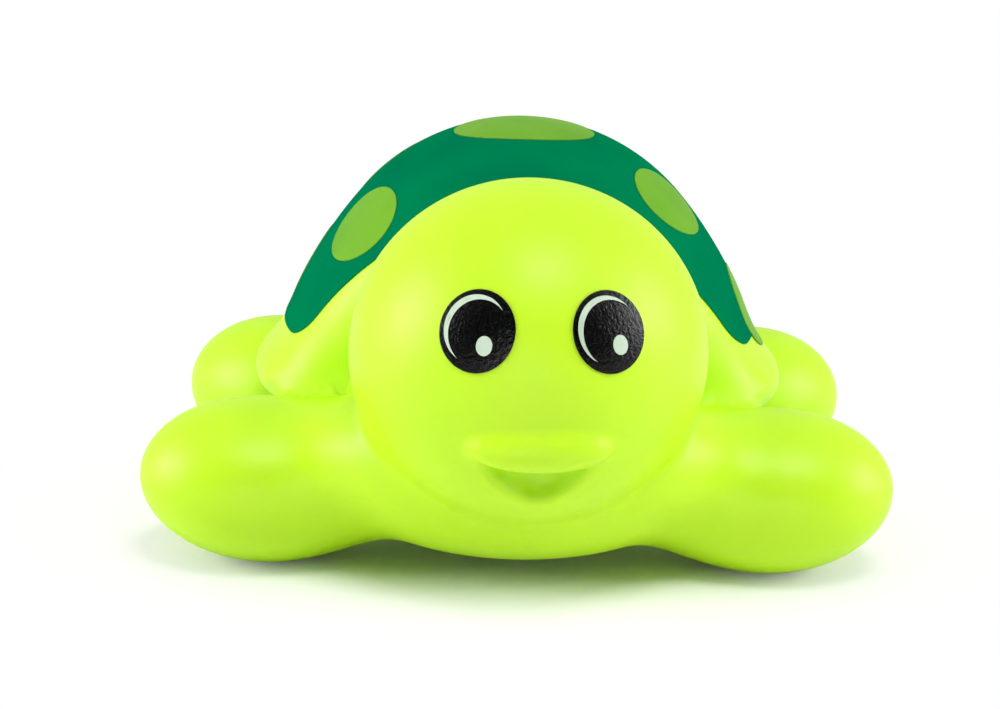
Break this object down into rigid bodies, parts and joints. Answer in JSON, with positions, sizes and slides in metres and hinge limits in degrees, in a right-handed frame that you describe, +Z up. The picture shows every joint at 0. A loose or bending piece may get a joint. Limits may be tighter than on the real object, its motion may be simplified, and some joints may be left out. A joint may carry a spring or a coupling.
{
  "type": "squeaky bath toy",
  "caption": "Soft hollow turtle squeeze toy with a painted domed shell, printed eyes, paddle flippers and a reed squeaker in its belly.",
  "frame": {"origin": "under the middle of the toy's outline, on the surface it stands on", "axes": "+Z up, the face looks along -Y, +X is the toy's left side and the viewer's right"},
  "size_m": [0.0932, 0.0918, 0.052],
  "materials": {
    "lime_vinyl": "soft satin",
    "shell_paint": "satin",
    "spot_paint": "satin",
    "eye_ink": "grained satin",
    "white_ink": "satin",
    "squeaker_plastic": "moulded",
    "reed_film": "film"
  },
  "bodies": {
    "body": {"vinyl_body": "lime_vinyl", "eye_left": "eye_ink", "eye_right": "eye_ink", "eye_marks_left": "white_ink", "eye_marks_right": "white_ink", "squeaker_housing": "squeaker_plastic", "reed_tongue": "squeaker_plastic", "reed_wedge": "squeaker_plastic"},
    "crown": {"shell_coat": "shell_paint", "shell_spots": "spot_paint"},
    "reed": {"reed": "reed_film"}
  },
  "joints": [
    {"name": "squeeze", "type": "slide", "parent": "body", "child": "crown", "axis": [0, 0, -1], "range_m": [0, 0.008], "stiffness_N_per_m": 1500, "deforming": ["vinyl_body"]},
    {"name": "reed_flutter", "type": "hinge", "parent": "body", "child": "reed", "pos_m": [0, 0.00147, 0.004], "axis": [1, 0, 0], "range_deg": [-2.5, 2.5], "stiffness_Nm_per_rad": 0.0002}
  ]
}
